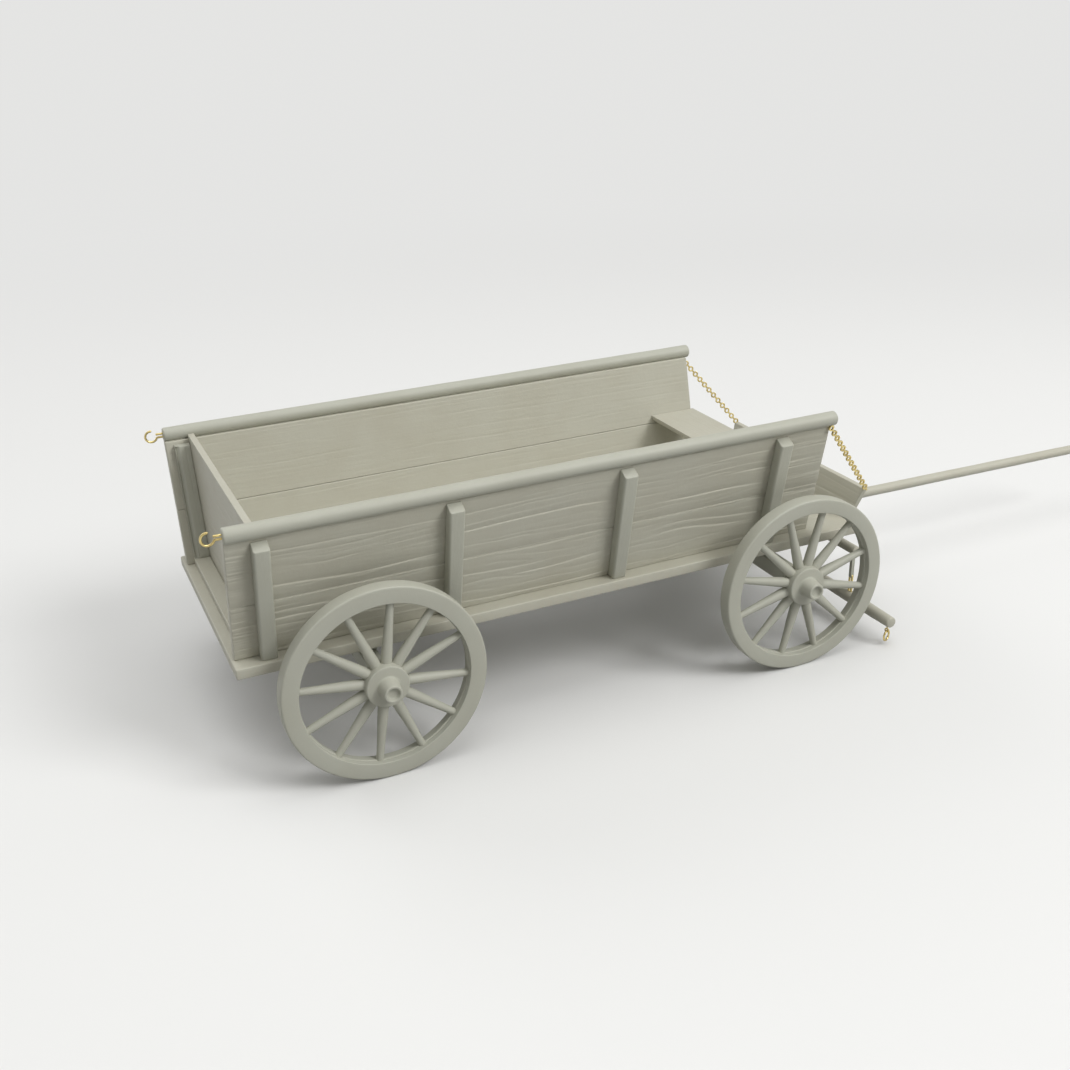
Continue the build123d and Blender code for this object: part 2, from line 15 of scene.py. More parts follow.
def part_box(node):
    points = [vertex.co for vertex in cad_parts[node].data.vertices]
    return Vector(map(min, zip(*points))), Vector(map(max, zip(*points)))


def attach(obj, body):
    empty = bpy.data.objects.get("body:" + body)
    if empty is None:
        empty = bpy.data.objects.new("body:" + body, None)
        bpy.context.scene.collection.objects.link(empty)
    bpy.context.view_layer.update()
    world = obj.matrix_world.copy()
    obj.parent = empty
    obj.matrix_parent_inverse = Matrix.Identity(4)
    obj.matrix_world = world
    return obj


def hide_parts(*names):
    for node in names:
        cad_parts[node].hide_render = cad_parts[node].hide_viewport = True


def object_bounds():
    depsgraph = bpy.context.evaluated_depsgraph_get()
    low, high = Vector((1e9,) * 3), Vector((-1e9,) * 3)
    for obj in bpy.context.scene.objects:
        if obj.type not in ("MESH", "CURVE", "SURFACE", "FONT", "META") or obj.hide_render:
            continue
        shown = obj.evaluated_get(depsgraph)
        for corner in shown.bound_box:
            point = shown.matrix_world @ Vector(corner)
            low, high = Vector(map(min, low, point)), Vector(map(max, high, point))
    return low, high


bl_info = {
    "name": "Farm wagon model",
    "version": (1, 0, 0),
    "blender": (4, 5, 0),
    "location": "View3D > Sidebar > Wagon",
    "description": "Dresses the packed farm wagon model in cast resin and brass",
    "category": "Object",
}

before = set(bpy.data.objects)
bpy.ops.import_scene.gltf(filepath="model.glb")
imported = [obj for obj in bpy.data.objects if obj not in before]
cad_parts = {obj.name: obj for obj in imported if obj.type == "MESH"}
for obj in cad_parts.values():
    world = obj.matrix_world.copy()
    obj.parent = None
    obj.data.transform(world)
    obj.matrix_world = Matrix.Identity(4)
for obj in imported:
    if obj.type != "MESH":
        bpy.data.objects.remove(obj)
CAD_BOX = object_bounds()

MM = 0.001
SIDES = (("right", -1), ("left", 1))
LONG, CROSS, TALL = range(3)

# Steps in the rounding of a corner or an end
CORNER_TURNS = 4
END_TURNS = 4

# Angles in degrees past which a CAD edge is rounded, and past which an edge is shaded sharp
SHARP_CAD = 30.0
SHARP_CASTING = 38.0
SHARP_BOARD = 50.0
SHARP_WIRE = 60.0


def node_box(node):
    """Lowest and highest corner of a CAD node, in millimetres."""
    low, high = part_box(node)
    return np.array(low) / MM, np.array(high) / MM


# Values a user would change

def length(name, text, value):
    """A size property, written in millimetres and kept in Blender's metres."""
    return FloatProperty(name=name, description=text, default=value * MM, min=0.0, precision=5,
                         subtype="DISTANCE")


def turn(name, text, degrees):
    """An angle property, written in degrees."""
    return FloatProperty(name=name, description=text, default=math.radians(degrees), subtype="ANGLE")


def number(name, text, value, least):
    """A count of like things."""
    return IntProperty(name=name, description=text, default=value, min=least)


def power(name, text, watts):
    """The power of a lamp."""
    return FloatProperty(name=name, description=text, default=watts, min=0.0, subtype="POWER")


def colour(name, text, red, green, blue):
    """A colour property in linear values."""
    return FloatVectorProperty(name=name, description=text, default=(red, green, blue, 1.0), size=4, min=0.0,
                               max=1.0, subtype="COLOR")


def sizes(group):
    """The values of a property group, with its lengths in millimetres."""
    values = {key: getattr(group, key) for key in group.__annotations__}
    for key in values:
        if group.bl_rna.properties[key].subtype == "DISTANCE":
            values[key] /= MM
    return SimpleNamespace(**values)


class WagonFinish(bpy.types.PropertyGroup):
    """Colours and gloss of the two materials."""
    board_tone: colour("Boards", "Main tone of the cast boards", 0.500, 0.490, 0.410)
    board_shade: colour("Board shade", "Darker, warmer tone in the boards' mottling", 0.458, 0.438, 0.354)
    casting_tone: colour("Castings", "Main tone of wheels, posts and gear", 0.455, 0.457, 0.388)
    casting_shade: colour("Casting shade", "Darker tone in the castings' mottling", 0.422, 0.418, 0.346)
    resin_gloss: FloatProperty(name="Resin roughness", description="Mean roughness of the resin", default=0.5,
                               min=0.05, max=1.0, subtype="FACTOR")
    brass_tone: colour("Brass", "Clean brass", 0.720, 0.590, 0.262)
    brass_dull: colour("Dull brass", "Handled, darker brass", 0.450, 0.345, 0.145)


class WagonGrain(bpy.types.PropertyGroup):
    """Engraved wood grain of the boards."""
    deep: length("Line depth", "Depth of the main grain lines", 0.19)
    ledge: length("Ledge", "Height of the ledge under a grain line", 0.16)
    back: length("Slope", "Height over which the face comes out again above a line", 1.7)
    flow: length("Flow", "How far the lines wander up and down", 1.15)
    fibre: length("Fibre", "Depth of the fine fibres between the lines", 0.016)
    inner: length("Inner depth", "Depth of the faint lines on inner faces", 0.03)
    seam: length("Seam", "Gap between the two planks of a side", 0.06)
    step: length("Step", "How far the lower plank stands out at the seam", 0.17)
    floor_boards: number("Floor boards", "Boards engraved on the floor", 7, 1)
    floor_seam: length("Floor seam", "Depth of the seams between the floor boards", 0.16)
    ease: length("Edge", "Rounding of the boards' edges", 0.14)
    worn: length("Worn edge", "Depth of the bevel worn on the cleats", 0.62)


class WagonWheelwork(bpy.types.PropertyGroup):
    """Sizes of the wheels."""
    spokes: number("Spokes", "Spokes in a wheel", 12, 3)
    rear_deep: length("Rear rim", "Depth of the rear rim", 3.05)
    front_deep: length("Front rim", "Depth of the front rim", 2.8)
    rim_wide: length("Rim width", "Width of the rim across the tread", 2.8)
    root: length("Spoke root", "Radius of a spoke at the hub", 0.93)
    tip: length("Spoke tip", "Radius of a spoke at the rim", 0.64)
    hub: length("Hub", "Radius of the hub's flange", 3.65)
    flange: length("Flange", "How far the flange stands out from the rim's middle", 1.9)
    nose: length("Nose", "Radius of the hub's nose at its foot", 1.85)
    nose_tip: length("Nose tip", "Radius of the hub's nose at its tip", 1.5)
    nose_out: length("Nose reach", "How far the nose stands out from the rim's middle", 4.55)
    rear_angle: turn("Rear spoke", "First spoke of a rear wheel", 22)
    front_angle: turn("Front spoke", "First spoke of a front wheel", 15)


class WagonBrasswork(bpy.types.PropertyGroup):
    """Sizes of the brass fittings."""
    links: number("Chain links", "Rings in a stay chain", 13, 2)
    ring: length("Chain ring", "Outer radius of a chain ring", 0.6)
    hole: length("Chain hole", "Radius of a chain ring's hole", 0.29)
    flat: length("Chain thickness", "Thickness of the etched chain", 0.32)
    hook_wire: length("Hook wire", "Radius of the hooks' wire", 0.2)
    hook_eye: length("Hook eye", "Radius of the hook's bend", 1.02)
    link_wire: length("Link wire", "Radius of the hanger links' wire", 0.22)
    trace_ring: length("Trace ring", "Outer radius of a trace ring", 1.2)
    trace_wire: length("Ring wire", "Radius of the trace rings' wire", 0.2)
    trace_turn: turn("Ring turn", "Turn of the trace rings about the upright", 24)


class WagonStage(bpy.types.PropertyGroup):
    """Floor, light and camera."""
    floor_tone: colour("Floor", "Tone of the floor and backdrop as seen", 0.78, 0.78, 0.77)
    floor_thrown: colour("Floor light", "Tone of the floor for the light it throws back", 0.38, 0.38, 0.375)
    key: power("Key light", "Power of the key light", 6.6)
    top: power("Top light", "Power of the light overhead", 7.8)
    fill: power("Fill light", "Power of the light from the far side", 2.6)
    sky: FloatProperty(name="Sky", description="Strength of the even light all round", default=0.33, min=0.0)
    lens: FloatProperty(name="Lens", description="Focal length of the camera", default=41.735, min=1.0,
                        subtype="DISTANCE_CAMERA")


# Meshes

def full_turn(steps):
    """Angles of a full turn in equal steps."""
    return np.linspace(0.0, 2.0 * math.pi, steps, endpoint=False)


def unit(vector):
    """A vector of length 1."""
    vector = np.array(vector, float)
    return vector / np.linalg.norm(vector)


def skin(rings, joined=False):
    """Points and faces of a skin through rings of points; the ends are capped unless they join."""
    rings = np.asarray(rings, float)
    stations, count = rings.shape[:2]
    index = np.arange(stations * count).reshape(stations, count)
    here = index if joined else index[:-1]
    there = np.roll(index, -1, axis=0) if joined else index[1:]
    quads = np.stack([here, np.roll(here, -1, axis=1), np.roll(there, -1, axis=1), there], axis=-1)
    faces = quads.reshape(-1, 4).tolist()
    if not joined:
        faces += [index[0][::-1].tolist(), index[-1].tolist()]
    return rings.reshape(-1, 3), faces


def eased_run(run, step, ease):
    """Stations along a run, and how far the ring at each draws in so that the ends are rounded."""
    bend = np.linspace(0.0, math.pi / 2, END_TURNS)
    near = ease * (1.0 - np.cos(bend))
    inset = ease * (1.0 - np.sin(bend))
    count = max(3, int(round((run - 2.0 * ease) / step)) + 1)
    middle = np.linspace(ease, run - ease, count)[1:-1]
    stations = np.concatenate([near, middle, run - near[::-1]])
    return stations, np.concatenate([inset, np.zeros(len(middle)), inset[::-1]])


def board(start, end, wide, thick, ease, step, columns=2, front=None, back=None):
    """A board with eased edges from start to end.

    thick is a half vector across the board, and so is wide, or it gives one for each share of the run. front
    and back give the depth of the relief on the faces towards and away from thick.
    """
    start, end = np.array(start, float), np.array(end, float)
    run = float(np.linalg.norm(end - start))
    stations, inset = eased_run(run, step, ease)
    share = (stations / run)[:, None]
    centre = start + (end - start) * share
    wide = wide(share) if callable(wide) else np.repeat([np.array(wide, float)], len(stations), axis=0)
    thick = np.repeat([np.array(thick, float)], len(stations), axis=0)
    half_w = np.linalg.norm(wide, axis=1, keepdims=True)
    half_t = np.linalg.norm(thick, axis=1, keepdims=True)
    w_way, t_way = wide / half_w, thick / half_t
    half_w, half_t = half_w - inset[:, None], half_t - inset[:, None]
    flat, core = half_w - ease, half_t - ease
    across = flat * np.linspace(-1.0, 1.0, columns)[None, :]
    along = np.repeat(stations[:, None], columns, axis=1)
    level = np.clip(1.0 - inset[:, None] / ease, 0.0, 1.0)
    sunk_front = front(along, across) * level if front else 0.0 * across
    sunk_back = back(along, across) * level if back else 0.0 * across
    bend = np.linspace(0.0, math.pi / 2, CORNER_TURNS + 1)[None, :]
    leave, enter = bend[:, 1:], bend[:, :-1]
    corners = [
        (across, half_t - sunk_front),
        (flat + ease * np.sin(leave), core + (ease - sunk_front[:, -1:]) * np.cos(leave)),
        (flat + ease * np.cos(enter), -core - (ease - sunk_back[:, -1:]) * np.sin(enter)),
        (across[:, ::-1], -half_t + sunk_back[:, ::-1]),
        (-flat - ease * np.sin(leave), -core - (ease - sunk_back[:, :1]) * np.cos(leave)),
        (-flat - ease * np.cos(enter), core + (ease - sunk_front[:, :1]) * np.sin(enter)),
    ]
    a = np.concatenate([one[0] for one in corners], axis=1)[:, :, None]
    b = np.concatenate([one[1] for one in corners], axis=1)[:, :, None]
    return skin(centre[:, None, :] + a * w_way[:, None, :] + b * t_way[:, None, :])


def flat_board(node, run, wide, ease, **more):
    """A level board that fills a node's box, with its run and its width along two axes."""
    low, high = node_box(node)
    start, end = (low + high) / 2, (low + high) / 2
    start[run], end[run] = low[run], high[run]
    half = np.diag((high - low) / 2)
    return board(start, end, half[wide], half[TALL], ease, **more)


# Cells of the noise that makes bars and rims uneven, and how far its circle reaches round a rim
ROD_CELLS = (6.0, 0.8)
WHEEL_CELL = 1.7
WHEEL_REACH = 5


def bar(start, end, radius, ease, step=1.5, sides=40, wobble=0.0, seed=0):
    """A round bar from start to end; radius is given for a share of the run, and wobble makes it uneven."""
    start, end = np.array(start, float), np.array(end, float)
    run = float(np.linalg.norm(end - start))
    way = (end - start) / run
    side = unit(np.cross(way, (0.0, 0.0, 1.0) if abs(way[2]) < 0.9 else (1.0, 0.0, 0.0)))
    up = np.cross(side, way)
    stations, inset = eased_run(run, step, ease)
    angle = full_turn(sides)
    size = np.array([radius(one / run) for one in stations]) - inset
    size = size[:, None] + 0.0 * angle[None, :]
    if wobble:
        along = np.repeat(stations[:, None], sides, axis=1)
        around = np.repeat(np.cos(angle)[None, :] + 2.0, len(stations), axis=0)
        level = np.clip(1 - inset / ease, 0, 1)[:, None]
        size += wobble * (soft_noise(along, around, *ROD_CELLS, seed) - 0.5) * level
    ring = np.cos(angle)[None, :, None] * side + np.sin(angle)[None, :, None] * up
    return skin((start + way * stations[:, None])[:, None, :] + size[:, :, None] * ring)


def cross_bar(node, ease, taper=0.0, **more):
    """A round bar across the wagon that fills a node's box and may taper to its ends."""
    low, high = node_box(node)
    middle, radius = (low + high) / 2, (high[0] - low[0]) / 2
    return bar((middle[0], low[1], middle[2]), (middle[0], high[1], middle[2]),
               lambda share: radius * (1.0 - taper * (2 * share - 1) ** 2), ease, **more)


def wire(path, radius, flat_normal, sides=14, joined=False):
    """A round wire along a flat path of points; its open ends are rounded off."""
    path = np.array(path, float)
    up = unit(flat_normal)
    size = np.full(len(path), float(radius))
    if joined:
        way = np.roll(path, -1, axis=0) - np.roll(path, 1, axis=0)
    else:
        first, last = unit(path[1] - path[0]), unit(path[-1] - path[-2])
        reach = np.array([0.0, 0.12, 0.4]) * radius
        drawn = np.array([0.55, 0.85, 1.0]) * radius
        path = np.concatenate([path[0] + np.outer(reach, first), path[1:-1],
                               path[-1] - np.outer(reach[::-1], last)])
        size = np.concatenate([drawn, np.full(len(path) - 6, float(radius)), drawn[::-1]])
        way = np.gradient(path, axis=0)
    way /= np.linalg.norm(way, axis=1, keepdims=True)
    side = np.cross(way, up)
    angle = full_turn(sides)
    ring = np.cos(angle)[None, :, None] * side[:, None, :] + np.sin(angle)[None, :, None] * up
    return skin(path[:, None, :] + size[:, None, None] * ring, joined)


def rounded(corners, turns=4):
    """A closed outline from corners given as (radius, height, ease), each rounded by its own ease."""
    points = np.array([one[:2] for one in corners], float)
    outline = []
    for i, (_, _, ease) in enumerate(corners):
        corner = points[i]
        if ease == 0.0:
            outline.append(corner)
            continue
        first = corner + unit(points[i - 1] - corner) * ease
        last = corner + unit(points[(i + 1) % len(points)] - corner) * ease
        for t in np.linspace(0.0, 1.0, turns + 1):
            outline.append((1 - t) ** 2 * first + 2 * t * (1 - t) * corner + t ** 2 * last)
    return np.array(outline)


def turned(outline, centre, axis, spin, steps, wobble=0.0, seed=0):
    """A shape turned about an axis: outline holds radius and height pairs, spin is the way of angle 0."""
    axis, spin = unit(axis), unit(spin)
    other = np.cross(axis, spin)
    angle = full_turn(steps)
    ways = np.cos(angle)[:, None] * spin + np.sin(angle)[:, None] * other
    radius = np.repeat(outline[None, :, 0], steps, axis=0)
    if wobble:
        u, v = (one * WHEEL_REACH + 9 for one in (np.cos(angle), np.sin(angle)))
        radius = radius + wobble * (soft_noise(u, v, WHEEL_CELL, WHEEL_CELL, seed)[:, None] - 0.5)
    rings = np.array(centre, float) + radius[:, :, None] * ways[:, None, :] + outline[None, :, 1:2] * axis
    return skin(rings, joined=True)


def eased_copy(node, ease):
    """Points and faces of a CAD node with its sharp edges rounded."""
    mesh = bmesh.new()
    mesh.from_mesh(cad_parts[node].data)
    bmesh.ops.remove_doubles(mesh, verts=mesh.verts, dist=1e-7)
    bmesh.ops.dissolve_limit(mesh, angle_limit=math.radians(0.5), verts=mesh.verts, edges=mesh.edges)
    sharp = math.radians(SHARP_CAD)
    edges = [e for e in mesh.edges if len(e.link_faces) == 2 and e.calc_face_angle() > sharp]
    bmesh.ops.bevel(mesh, geom=edges, offset=ease * MM, offset_type="OFFSET", segments=3, profile=0.5,
                    affect="EDGES", clamp_overlap=True)
    bmesh.ops.remove_doubles(mesh, verts=mesh.verts, dist=1e-6)
    mesh.verts.index_update()
    shell = (np.array([v.co for v in mesh.verts]) / MM, [[v.index for v in f.verts] for f in mesh.faces])
    mesh.free()
    return shell


def clean_mesh(mesh, sharp):
    """Merges doubles, turns faces outwards and shades smoothly up to an angle."""
    work = bmesh.new()
    work.from_mesh(mesh)
    bmesh.ops.remove_doubles(work, verts=work.verts, dist=2e-7)
    bmesh.ops.recalc_face_normals(work, faces=work.faces)
    work.to_mesh(mesh)
    work.free()
    mesh.shade_smooth()
    mesh.set_sharp_from_angle(angle=math.radians(sharp))


def put(name, data):
    """A new object in the scene for a mesh, a lamp or a camera."""
    thing = bpy.data.objects.new(name, data)
    bpy.context.scene.collection.objects.link(thing)
    return thing


def cut_piece(name, shells, finish, sharp):
    """One object from shells of points and faces, with the material of a finish."""
    points, faces, start = [], [], 0
    for shell_points, shell_faces in shells:
        points.append(shell_points)
        faces += [[one + start for one in face] for face in shell_faces]
        start += len(shell_points)
    mesh = bpy.data.meshes.new(name)
    mesh.from_pydata((np.concatenate(points) * MM).tolist(), [], faces)
    mesh.materials.append(bpy.data.materials[finish])
    clean_mesh(mesh, sharp)
    return put(name, mesh)


def settle(piece, body, slot, *nodes):
    """The piece moves with its body and stands for CAD nodes, which are hidden; slot is not used."""
    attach(piece, body)
    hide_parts(*nodes)


def cast(node, body, shell, finish="resin_casting", sharp=SHARP_BOARD):
    """A resin piece that stands for one CAD node."""
    settle(cut_piece("cast_" + node, [shell], finish, sharp), body, "resin", node)


def brass(node, body, *shells):
    """A brass piece that stands for one CAD node."""
    settle(cut_piece("brass_" + node, shells, "brass_fittings", SHARP_WIRE), body, "brass", node)


# Relief of the boards: cells of the noise along and across the grain, and shares of what each adds

LONG_WANDER = (26.0, 7.0)
SHORT_WANDER = (10.0, 3.5)
SHORT_SHARE = 0.35
FADE_CELL = 14.0
FIBRE_CELLS = ((7.0, 0.32), (3.0, 0.2))
FIBRE_SHARE = 0.6
UPRIGHT_SHIFT = 30
PLANK_ROW = 0.115


def soft_noise(u, v, cell_u, cell_v, seed):
    """Smooth noise from 0 to 1 with the given cell sizes."""
    cells = 64
    table = np.random.RandomState(seed).rand(cells, cells)
    x, y = u / cell_u + cells, v / cell_v + cells
    i, j = np.floor(x).astype(int), np.floor(y).astype(int)
    fx, fy = x - i, y - j
    fx, fy = fx * fx * (3 - 2 * fx), fy * fy * (3 - 2 * fy)
    i, j, right, above = i % cells, j % cells, (i + 1) % cells, (j + 1) % cells
    low = table[i, j] * (1 - fx) + table[right, j] * fx
    high = table[i, above] * (1 - fx) + table[right, above] * fx
    return low * (1 - fy) + high * fy


def grain(u, v, lines, deep, ledge, back, flow, seed):
    """Depth of flowing grain lines along u: a ledge that catches the light, and a slope above it."""
    random = np.random.RandomState(seed)
    lift = v + flow * (2 * soft_noise(u, v, *LONG_WANDER, seed + 1) - 1)
    lift = lift + SHORT_SHARE * flow * (2 * soft_noise(u, v, *SHORT_WANDER, seed + 2) - 1)
    low, high = v.min() - flow, v.max() + flow
    sunk = np.zeros_like(u)
    for level in low + (high - low) * (np.arange(lines) + random.rand(lines) * 0.8) / lines:
        strength = random.uniform(0.3, 1.0)
        shown = soft_noise(u, 0 * v + random.rand() * 50, FADE_CELL, 1.0, seed + 3)
        fade = np.clip(shown * 2.2 - 0.45, 0.0, 1.0)
        off = lift - level
        cut = np.clip(np.where(off < 0, 1 + off / ledge, 1 - off / back), 0.0, 1.0)
        sunk = np.maximum(sunk, deep * strength * fade * np.where(off < 0, cut, cut * cut))
    return sunk


def fibre(u, v, deep, seed):
    """Fine fibres along u."""
    long, short = (soft_noise(u, v, *cell, seed + n) for n, cell in enumerate(FIBRE_CELLS))
    return deep * (long + FIBRE_SHARE * short) / (1 + FIBRE_SHARE)


def relief(lines, deep, ledge, back, flow, seed, fine=0.0, upright=False):
    """A face with grain lines and fibres between them; on a board drawn upright they run across it."""
    def face(u, v):
        shift = 0
        if upright:
            u, v, shift = v, u, UPRIGHT_SHIFT
        return grain(u + shift, v, lines, deep, ledge, back, flow, seed) + fibre(u, v, fine, seed + 1)
    return face


# Nodes

def feed(tree, inputs, links):
    """Fills inputs from (input, source or value) pairs; a node stands for its first output."""
    for key, source in links:
        if isinstance(source, bpy.types.Node):
            source = source.outputs[0]
        if isinstance(source, bpy.types.NodeSocket):
            tree.links.new(source, inputs[key])
        else:
            inputs[key].default_value = source


def add_node(tree, kind, links=(), **settings):
    """A node with its settings and links; its kind may leave out the prefix of the tree's own nodes."""
    if not kind.startswith("ShaderNode"):
        kind = tree.bl_idname.removesuffix("Tree") + kind
    node = tree.nodes.new(kind)
    for name, value in settings.items():
        setattr(node, name, value)
    feed(tree, node.inputs, links)
    return node


def maths(tree, operation, *values):
    """A Math node."""
    return add_node(tree, "ShaderNodeMath", enumerate(values), operation=operation)


def ramp(tree, value, low, high, to_low=0.0, to_high=1.0, **settings):
    """A Map Range node, which keeps to its range."""
    return add_node(tree, "ShaderNodeMapRange", enumerate((value, low, high, to_low, to_high)), **settings)


def noise(tree, place, scale, detail, rough=0.5):
    """A noise texture."""
    links = [("Vector", place), ("Scale", scale), ("Detail", detail), ("Roughness", rough)]
    return add_node(tree, "TexNoise", links)


def blend(tree, share, first, second):
    """A mix of two colours."""
    return add_node(tree, "MixRGB", enumerate((share, first, second)))


def new_tree(name, kind, inputs, outputs):
    """A node group with named sockets; returns it with its input sockets and its output node's."""
    tree = bpy.data.node_groups.new(name, kind)
    for way, sockets in (("INPUT", inputs), ("OUTPUT", outputs)):
        for label, socket in sockets.items():
            tree.interface.new_socket(label, in_out=way, socket_type="NodeSocket" + socket)
    return tree, tree.nodes.new("NodeGroupInput").outputs, tree.nodes.new("NodeGroupOutput").inputs


def geometry_tree(name, **inputs):
    """A geometry tree with named inputs, in which a space stands for each underscore."""
    named = {label.replace("_", " "): socket for label, socket in inputs.items()}
    return new_tree(name, "GeometryNodeTree", {"Geometry": "Geometry", **named, "Finish": "Material"},
                    {"Geometry": "Geometry"})


def end_tree(tree, geometry, given, out):
    """Realize Instances and Set Material close every geometry tree."""
    real = add_node(tree, "RealizeInstances", [("Geometry", geometry)])
    painted = add_node(tree, "SetMaterial", [("Geometry", real), ("Material", given["Finish"])])
    feed(tree, out, [("Geometry", painted)])
    return tree


def row_tree():
    """Repeats a piece along a straight row."""
    tree, given, out = geometry_tree("row_of_pieces", Count="Int", Step="Vector")
    line = add_node(tree, "MeshLine", [("Count", given["Count"]), ("Offset", given["Step"])], mode="OFFSET")
    placed = add_node(tree, "InstanceOnPoints", [("Points", line), ("Instance", given["Geometry"])])
    return end_tree(tree, placed, given, out)


def spoke_tree():
    """Adds tapered spokes round a rim and hub, about the Y axis through a centre."""
    tree, given, out = geometry_tree(
        "wheel_spokes", Spokes="Int", First_angle="Float", Centre="Vector", Inner_end="Float",
        Outer_end="Float", Root="Float", Tip="Float")
    start, end = (add_node(tree, "ShaderNodeCombineXYZ", [("X", given[key])])
                  for key in ("Inner end", "Outer end"))
    line = add_node(tree, "CurvePrimitiveLine", [("Start", start), ("End", end)])
    fine = add_node(tree, "ResampleCurve", [("Curve", line), ("Count", 14)])
    along = add_node(tree, "SplineParameter").outputs["Factor"]
    taper = ramp(tree, along, 0.15, 0.95, given["Root"], given["Tip"], interpolation_type="SMOOTHSTEP")
    section = add_node(tree, "CurvePrimitiveCircle", [("Resolution", 20), ("Radius", 1.0)])
    spoke = add_node(tree, "CurveToMesh", [
        ("Curve", fine), ("Profile Curve", section), ("Scale", taper), ("Fill Caps", True)])
    points = add_node(tree, "Points", [("Count", given["Spokes"])])
    pitch = maths(tree, "DIVIDE", 2.0 * math.pi, given["Spokes"])
    angle = maths(tree, "MULTIPLY_ADD", add_node(tree, "InputIndex"), pitch, given["First angle"])
    about = add_node(tree, "ShaderNodeCombineXYZ", [("Y", angle)])
    links = [("Points", points), ("Instance", spoke), ("Rotation", about)]
    placed = add_node(tree, "InstanceOnPoints", links)
    moved = add_node(tree, "Transform", [("Geometry", placed), ("Translation", given["Centre"])])
    whole = add_node(tree, "JoinGeometry", [(0, moved), (0, given["Geometry"])])
    return end_tree(tree, whole, given, out)


def grow(piece, tree, **values):
    """Runs a tree on a piece in its own finish, and keeps the result as its plain mesh."""
    modifier = piece.modifiers.new(tree.name, "NODES")
    modifier.node_group = tree
    values["Finish"] = piece.data.materials[0]
    for item in tree.interface.items_tree:
        key = item.name.replace(" ", "_")
        if item.in_out == "INPUT" and key in values:
            modifier[item.identifier] = values[key]
    bpy.context.view_layer.update()
    ready = piece.evaluated_get(bpy.context.evaluated_depsgraph_get())
    mesh = bpy.data.meshes.new_from_object(ready)
    piece.modifiers.remove(modifier)
    piece.data = mesh
    mesh.name = piece.name
    clean_mesh(mesh, SHARP_CASTING)
    if not mesh.polygons:
        raise RuntimeError(piece.name + " came out empty")


# Materials

def new_material(name):
    """A node material; returns its tree, its shader's inputs and the place on a piece."""
    material = bpy.data.materials.new(name)
    material.use_nodes = True
    tree = material.node_tree
    place = add_node(tree, "TexCoord").outputs["Object"]
    return tree, tree.nodes["Principled BSDF"].inputs, place


def casting_group():
    """Mottled tone, uneven gloss, fine skin and pin holes of a casting, with painted shade darkening the pin
    holes.
    """
    tree, given, out = new_tree(
        "casting_skin", "ShaderNodeTree",
        {"Vector": "Vector", "Tone": "Color", "Shade": "Color", "Gloss": "Float"},
        {"Color": "Color", "Roughness": "Float", "Height": "Float"})
    # the dark brown here is painted shade for the inside of the pin holes
    place, painted_pit_shade = given["Vector"], (0.23, 0.21, 0.16, 1.0)
    patch = ramp(tree, noise(tree, place, 95.0, 4.0, 0.6), 0.36, 0.68, 0.0, 0.6)
    tone = blend(tree, patch, given["Tone"], given["Shade"])
    fine = noise(tree, place, 1500.0, 3.0, 0.55)
    gloss = maths(tree, "MULTIPLY_ADD", fine, 0.22, given["Gloss"])
    rough = maths(tree, "SUBTRACT", gloss, 0.11)
    cells = add_node(tree, "TexVoronoi", [("Vector", place), ("Scale", 520.0)]).outputs
    rare = maths(tree, "GREATER_THAN", cells["Color"], 0.93)
    pit = ramp(tree, cells["Distance"], 0.05, 0.14, 1.0, 0.0)
    hole = maths(tree, "MULTIPLY", pit, rare)
    height = maths(tree, "MULTIPLY_ADD", hole, -0.9, fine)
    # painted shade: the tone is mixed towards dark brown inside the pin holes, where shade would fall
    tone_with_pit_shade = blend(tree, hole, tone, painted_pit_shade)
    feed(tree, out, [("Color", tone_with_pit_shade), ("Roughness", rough), ("Height", height)])
    return tree


def fibre_group():
    """Fine wood fibre cast into the resin, drawn out along one axis."""
    tree, given, out = new_tree("cast_fibre", "ShaderNodeTree", {"Vector": "Vector", "Stretch": "Vector"},
                                {"Height": "Float", "Mask": "Float"})
    drawn = add_node(tree, "VectorMath", enumerate((given["Vector"], given["Stretch"])), operation="MULTIPLY")
    lines = noise(tree, drawn, 1.0, 5.0, 0.62)
    feed(tree, out, [("Height", lines), ("Mask", ramp(tree, lines, 0.42, 0.62))])
    return tree


def resin_material(name, gloss, tones, casting, fibres, run):
    """Cast resin; with a run it carries fine fibre along that axis."""
    tree, shader, place = new_material(name)
    links = [("Vector", place), ("Tone", tones[0]), ("Shade", tones[1]), ("Gloss", gloss)]
    surface = add_node(tree, "Group", links, node_tree=casting).outputs
    height, tone = surface["Height"], surface["Color"]
    if run is not None:
        stretch = [2600.0] * 3
        stretch[run] = 160.0
        lines = add_node(tree, "Group", [("Vector", place), ("Stretch", stretch)], node_tree=fibres).outputs
        height = maths(tree, "MULTIPLY_ADD", lines["Height"], 1.8, height)
        tone = blend(tree, maths(tree, "MULTIPLY", lines["Mask"], 0.22), tone, tones[1])
    bump = add_node(tree, "Bump", [("Height", height), ("Strength", 0.55), ("Distance", 0.00003)])
    feed(tree, shader, [("Specular IOR Level", 0.42), ("Base Color", tone),
                        ("Roughness", surface["Roughness"]), ("Normal", bump)])


def brass_material(look):
    """Etched and drawn brass with dull patches."""
    tree, shader, place = new_material("brass_fittings")
    patch = noise(tree, place, 700.0, 4.0)
    tone = blend(tree, ramp(tree, patch, 0.42, 0.72), look.brass_tone, look.brass_dull)
    rough = ramp(tree, patch, 0.0, 1.0, 0.18, 0.46)
    marks = noise(tree, place, 5200.0, 2.0)
    bump = add_node(tree, "Bump", [("Height", marks), ("Strength", 0.25), ("Distance", 0.00002)])
    feed(tree, shader, [("Metallic", 1.0), ("Base Color", tone), ("Roughness", rough), ("Normal", bump)])


# Operators

